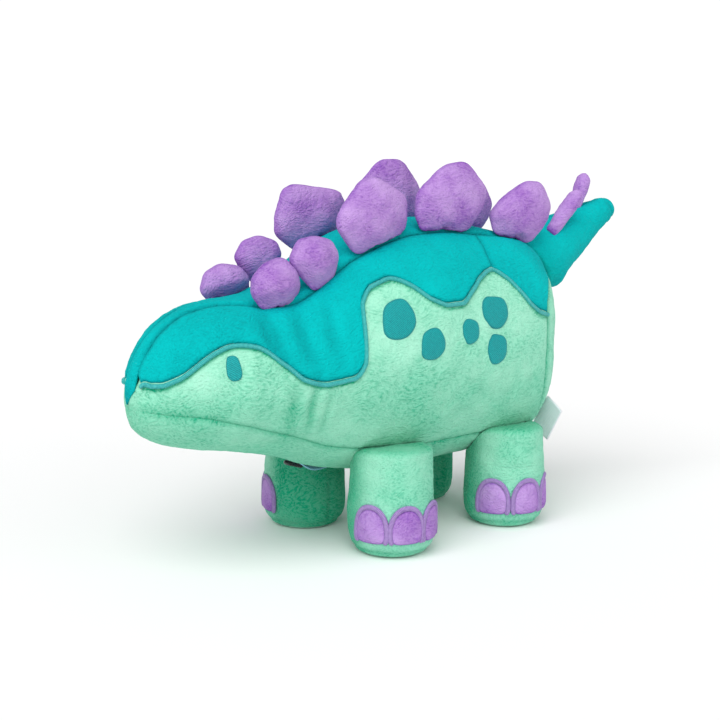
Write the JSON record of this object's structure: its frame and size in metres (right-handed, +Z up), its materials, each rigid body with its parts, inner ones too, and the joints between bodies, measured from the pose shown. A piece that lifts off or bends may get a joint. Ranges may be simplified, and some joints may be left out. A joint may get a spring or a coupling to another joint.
{
  "type": "stuffed dinosaur",
  "caption": "Plush stegosaurus on four short legs, with stuffed back plates, tail spikes, an embroidered cape edge and a belly zip.",
  "frame": {"origin": "under the middle of the toy's length and width, on the surface it stands on", "axes": "+X towards the tail, nose towards -X, left flank towards -Y, +Z up"},
  "size_m": [0.3492, 0.114, 0.1935],
  "materials": {
    "mint_plush": "short plush pile",
    "teal_plush": "short plush pile",
    "purple_plush": "short plush pile",
    "teal_thread": "satin stitch",
    "stuffing": "loose fibre",
    "zip_tape": "woven tape",
    "zip_coil": "moulded coil",
    "zip_plastic": "satin",
    "label_cloth": "woven label"
  },
  "bodies": {
    "torso": {"body_stuffing": "stuffing", "cape_left": "teal_plush", "cape_right": "teal_plush", "edge_stitch_left": "teal_thread", "edge_stitch_right": "teal_thread", "eye_left": "teal_thread", "eye_right": "teal_thread", "haunch_cape_left": "teal_plush", "haunch_cape_right": "teal_plush", "rump_panel": "mint_plush", "side_panel_left": "mint_plush", "side_panel_right": "mint_plush", "spot_1_left": "teal_thread", "spot_1_right": "teal_thread", "spot_2_left": "teal_thread", "spot_2_right": "teal_thread", "spot_3_left": "teal_thread", "spot_3_right": "teal_thread", "spot_4_left": "teal_thread", "spot_4_right": "teal_thread", "spot_5_left": "teal_thread", "spot_5_right": "teal_thread", "top_gusset": "teal_plush", "underside_panel": "mint_plush", "zip_tape": "zip_tape", "zip_teeth": "zip_coil"},
    "label": {"label": "label_cloth"},
    "leg_front_left": {"leg_front_left": "mint_plush", "leg_stuffing_front_left": "stuffing", "sole_front_left": "mint_plush", "toenails_front_left": "purple_plush"},
    "leg_front_right": {"leg_front_right": "mint_plush", "leg_stuffing_front_right": "stuffing", "sole_front_right": "mint_plush", "toenails_front_right": "purple_plush"},
    "leg_rear_left": {"leg_rear_left": "mint_plush", "leg_stuffing_rear_left": "stuffing", "sole_rear_left": "mint_plush", "toenails_rear_left": "purple_plush"},
    "leg_rear_right": {"leg_rear_right": "mint_plush", "leg_stuffing_rear_right": "stuffing", "sole_rear_right": "mint_plush", "toenails_rear_right": "purple_plush"},
    "plate_1_left": {"plate_1_left": "purple_plush"},
    "plate_1_right": {"plate_1_right": "purple_plush"},
    "plate_2_left": {"plate_2_left": "purple_plush"},
    "plate_2_right": {"plate_2_right": "purple_plush"},
    "plate_3_left": {"plate_3_left": "purple_plush"},
    "plate_3_right": {"plate_3_right": "purple_plush"},
    "plate_4_left": {"plate_4_left": "purple_plush"},
    "plate_4_right": {"plate_4_right": "purple_plush"},
    "plate_5_left": {"plate_5_left": "purple_plush"},
    "plate_5_right": {"plate_5_right": "purple_plush"},
    "tail": {"tail_cover": "teal_plush", "tail_stuffing": "stuffing"},
    "tail_spike_end": {"tail_spike_end": "purple_plush"},
    "tail_spike_left": {"tail_spike_left": "purple_plush"},
    "tail_spike_right": {"tail_spike_right": "purple_plush"},
    "zip_slider": {"zip_slider": "zip_plastic"}
  },
  "joints": [
    {"name": "front_left_hip", "type": "hinge", "parent": "torso", "child": "leg_front_left", "pos_m": [-0.0429, -0.034, 0.045], "axis": [0, 1, 0], "range_deg": [-14, 14], "stiffness_Nm_per_rad": 0.6},
    {"name": "front_right_hip", "type": "hinge", "parent": "torso", "child": "leg_front_right", "pos_m": [-0.0429, 0.034, 0.045], "axis": [0, 1, 0], "range_deg": [-14, 14], "stiffness_Nm_per_rad": 0.6},
    {"name": "rear_left_hip", "type": "hinge", "parent": "torso", "child": "leg_rear_left", "pos_m": [0.0421, -0.034, 0.045], "axis": [0, 1, 0], "range_deg": [-14, 14], "stiffness_Nm_per_rad": 0.6},
    {"name": "rear_right_hip", "type": "hinge", "parent": "torso", "child": "leg_rear_right", "pos_m": [0.0421, 0.034, 0.045], "axis": [0, 1, 0], "range_deg": [-14, 14], "stiffness_Nm_per_rad": 0.6},
    {"name": "tail_sway", "type": "hinge", "parent": "torso", "child": "tail", "pos_m": [0.0906, 0, 0.1408], "axis": [0, 0, 1], "range_deg": [-12, 12], "stiffness_Nm_per_rad": 0.15},
    {"name": "plate_1_left_lean", "type": "hinge", "parent": "torso", "child": "plate_1_left", "pos_m": [-0.10471, -0.01859, 0.12996], "axis": [0.9969, 0, 0.0793], "range_deg": [-15, 15], "stiffness_Nm_per_rad": 0.04},
    {"name": "plate_2_left_lean", "type": "hinge", "parent": "torso", "child": "plate_2_left", "pos_m": [-0.08271, -0.022, 0.13666], "axis": [0.8807, 0, 0.4737], "range_deg": [-15, 15], "stiffness_Nm_per_rad": 0.04},
    {"name": "plate_3_left_lean", "type": "hinge", "parent": "torso", "child": "plate_3_left", "pos_m": [-0.04617, -0.022, 0.15414], "axis": [0.9473, 0, 0.3203], "range_deg": [-15, 15], "stiffness_Nm_per_rad": 0.04},
    {"name": "plate_4_left_lean", "type": "hinge", "parent": "torso", "child": "plate_4_left", "pos_m": [0.00671, -0.022, 0.16075], "axis": [0.9989, 0, -0.0471], "range_deg": [-15, 15], "stiffness_Nm_per_rad": 0.04},
    {"name": "plate_5_left_lean", "type": "hinge", "parent": "torso", "child": "plate_5_left", "pos_m": [0.05717, -0.022, 0.15553], "axis": [0.9718, 0, -0.236], "range_deg": [-15, 15], "stiffness_Nm_per_rad": 0.04},
    {"name": "plate_1_right_lean", "type": "hinge", "parent": "torso", "child": "plate_1_right", "pos_m": [-0.10471, 0.01859, 0.12996], "axis": [0.9969, 0, 0.0793], "range_deg": [-15, 15], "stiffness_Nm_per_rad": 0.04},
    {"name": "plate_2_right_lean", "type": "hinge", "parent": "torso", "child": "plate_2_right", "pos_m": [-0.08271, 0.022, 0.13666], "axis": [0.8807, 0, 0.4737], "range_deg": [-15, 15], "stiffness_Nm_per_rad": 0.04},
    {"name": "plate_3_right_lean", "type": "hinge", "parent": "torso", "child": "plate_3_right", "pos_m": [-0.04617, 0.022, 0.15414], "axis": [0.9473, 0, 0.3203], "range_deg": [-15, 15], "stiffness_Nm_per_rad": 0.04},
    {"name": "plate_4_right_lean", "type": "hinge", "parent": "torso", "child": "plate_4_right", "pos_m": [0.00671, 0.022, 0.16075], "axis": [0.9989, 0, -0.0471], "range_deg": [-15, 15], "stiffness_Nm_per_rad": 0.04},
    {"name": "plate_5_right_lean", "type": "hinge", "parent": "torso", "child": "plate_5_right", "pos_m": [0.05717, 0.022, 0.15553], "axis": [0.9718, 0, -0.236], "range_deg": [-15, 15], "stiffness_Nm_per_rad": 0.04},
    {"name": "tail_spike_left_lean", "type": "hinge", "parent": "tail", "child": "tail_spike_left", "pos_m": [0.1081, -0.0135, 0.1615], "axis": [1, 0, 0], "range_deg": [-12, 12], "stiffness_Nm_per_rad": 0.02},
    {"name": "tail_spike_right_lean", "type": "hinge", "parent": "tail", "child": "tail_spike_right", "pos_m": [0.1081, 0.0135, 0.1615], "axis": [1, 0, 0], "range_deg": [-12, 12], "stiffness_Nm_per_rad": 0.02},
    {"name": "tail_spike_end_lean", "type": "hinge", "parent": "tail", "child": "tail_spike_end", "pos_m": [0.1406, 0, 0.1725], "axis": [1, 0, 0], "range_deg": [-12, 12], "stiffness_Nm_per_rad": 0.02},
    {"name": "label_fold", "type": "hinge", "parent": "torso", "child": "label", "pos_m": [0.079, -0.028, 0.0558], "axis": [0.0503, -0.4825, 0.8745], "range_deg": [-25, 25], "stiffness_Nm_per_rad": 0.003},
    {"name": "zip_slider_travel", "type": "hinge", "parent": "torso", "child": "zip_slider", "pos_m": [-0.0124, 0, 0.254], "axis": [0, -1, 0], "range_deg": [0, 15.2]}
  ]
}
